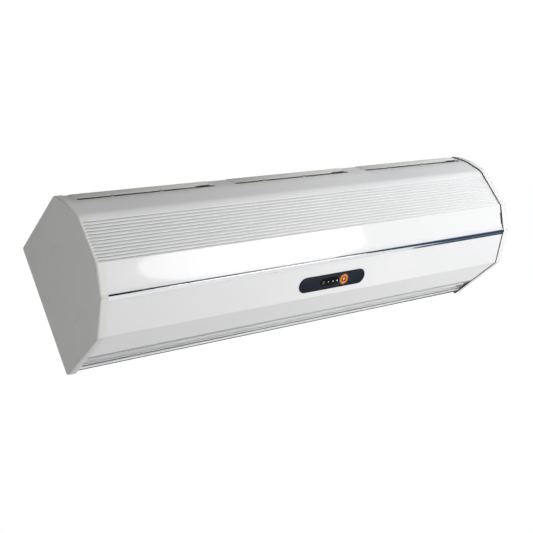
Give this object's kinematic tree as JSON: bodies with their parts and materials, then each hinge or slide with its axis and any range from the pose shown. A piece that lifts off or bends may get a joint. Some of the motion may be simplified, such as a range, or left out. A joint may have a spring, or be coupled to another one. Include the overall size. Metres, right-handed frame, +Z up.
{
  "type": "air curtain",
  "caption": "Wall-mounted cross-flow air curtain: ribbed aluminium casing with end caps, top inlet grilles, dark control panel and a bottom outlet slot with a tilting vane.",
  "frame": {"origin": "centre of the wall-bolt pattern, on the back face of the wall plate, which lies on the wall", "axes": "+X along the casing's length, -Y into the room, +Z up"},
  "size_m": [0.9, 0.215, 0.235],
  "materials": {
    "galvanised_steel": "galvanised sheet, dull spangle",
    "white_coated_steel": "white powder coat on sheet steel",
    "white_cover": "gloss white powder coat on extruded aluminium",
    "bright_trim": "mirror-bright trim moulding",
    "cap_plastic": "satin warm grey moulding",
    "grille_plastic": "satin light grey moulding",
    "bright_aluminium": "bright anodised extrusion",
    "bare_steel": "turned or plated steel",
    "black_plastic": "black moulding",
    "motor_paint": "black motor enamel",
    "winding_copper": "varnished copper winding",
    "black_rubber": "black rubber",
    "impeller_plastic": "grey glass-filled moulding",
    "navy_plastic": "satin navy fascia",
    "black_lens": "polished black lens",
    "orange_ring": "gloss orange ring",
    "amber_button": "dark amber button",
    "circuit_board": "green solder mask",
    "led_lens": "clear diffuse lens",
    "tray_plastic": "off-white moulding",
    "component_plastic": "relay and transformer housings",
    "terminal_plastic": "ivory polyamide",
    "lead_sheath": "black cable sheath"
  },
  "bodies": {
    "casing": {"wall_plate": "galvanised_steel", "back_panel": "galvanised_steel", "side_plate_left": "white_coated_steel", "side_plate_right": "white_coated_steel", "fan_scroll": "white_coated_steel", "air_tongue": "white_coated_steel", "upper_cover": "white_cover", "lower_cover": "white_cover", "trim_strip": "bright_trim", "end_cap_left": "cap_plastic", "end_cap_right": "cap_plastic", "inlet_grille_left": "grille_plastic", "inlet_grille_centre": "grille_plastic", "inlet_grille_right": "grille_plastic", "outlet_front_rail": "bright_aluminium", "outlet_rear_rail": "bright_aluminium", "vane_bushes": "black_plastic", "motor_shell_left": "motor_paint", "motor_shell_right": "motor_paint", "motor_stator": "bare_steel", "motor_windings": "winding_copper", "motor_bearings": "bare_steel", "motor_rubber_rings": "black_rubber", "motor_cradle": "galvanised_steel", "shaft_bearings": "bare_steel", "bearing_rubbers": "black_rubber", "bearing_holder_left": "galvanised_steel", "bearing_holder_right": "galvanised_steel", "control_bezel": "navy_plastic", "display_window": "black_lens", "button_ring": "orange_ring", "button_switch": "black_plastic", "control_board": "circuit_board", "indicator_leds": "led_lens", "remote_sensor": "black_plastic", "electrics_tray": "tray_plastic", "main_board": "circuit_board", "board_components": "component_plastic", "run_capacitor": "tray_plastic", "terminal_block": "terminal_plastic", "cable_grommet": "black_rubber", "motor_lead": "lead_sheath", "control_lead": "lead_sheath", "supply_lead": "lead_sheath", "cap_screws": "bare_steel", "frame_screws": "bare_steel", "cover_screws": "bare_steel", "holder_screws": "bare_steel", "cradle_screws": "bare_steel", "board_screws": "bare_steel"},
    "fan": {"motor_rotor": "bare_steel", "motor_shaft": "bare_steel", "impeller_left": "impeller_plastic", "impeller_right": "impeller_plastic", "end_axles": "bare_steel"},
    "vane": {"outlet_vane": "bright_aluminium", "vane_pins": "bare_steel"},
    "button": {"power_button": "amber_button", "switch_plunger": "black_plastic"}
  },
  "joints": [
    {"name": "fan_spin", "type": "hinge", "parent": "casing", "child": "fan", "pos_m": [0, -0.093, -0.055], "axis": [1, 0, 0], "continuous": true},
    {"name": "vane_tilt", "type": "hinge", "parent": "casing", "child": "vane", "pos_m": [0, -0.038, -0.148], "axis": [1, 0, 0], "range_deg": [-30, 20]},
    {"name": "button_press", "type": "slide", "parent": "casing", "child": "button", "axis": [0, 0.614, 0.7893], "range_m": [0, 0.0008], "stiffness_N_per_m": 1200, "springref_m": -0.0008}
  ]
}
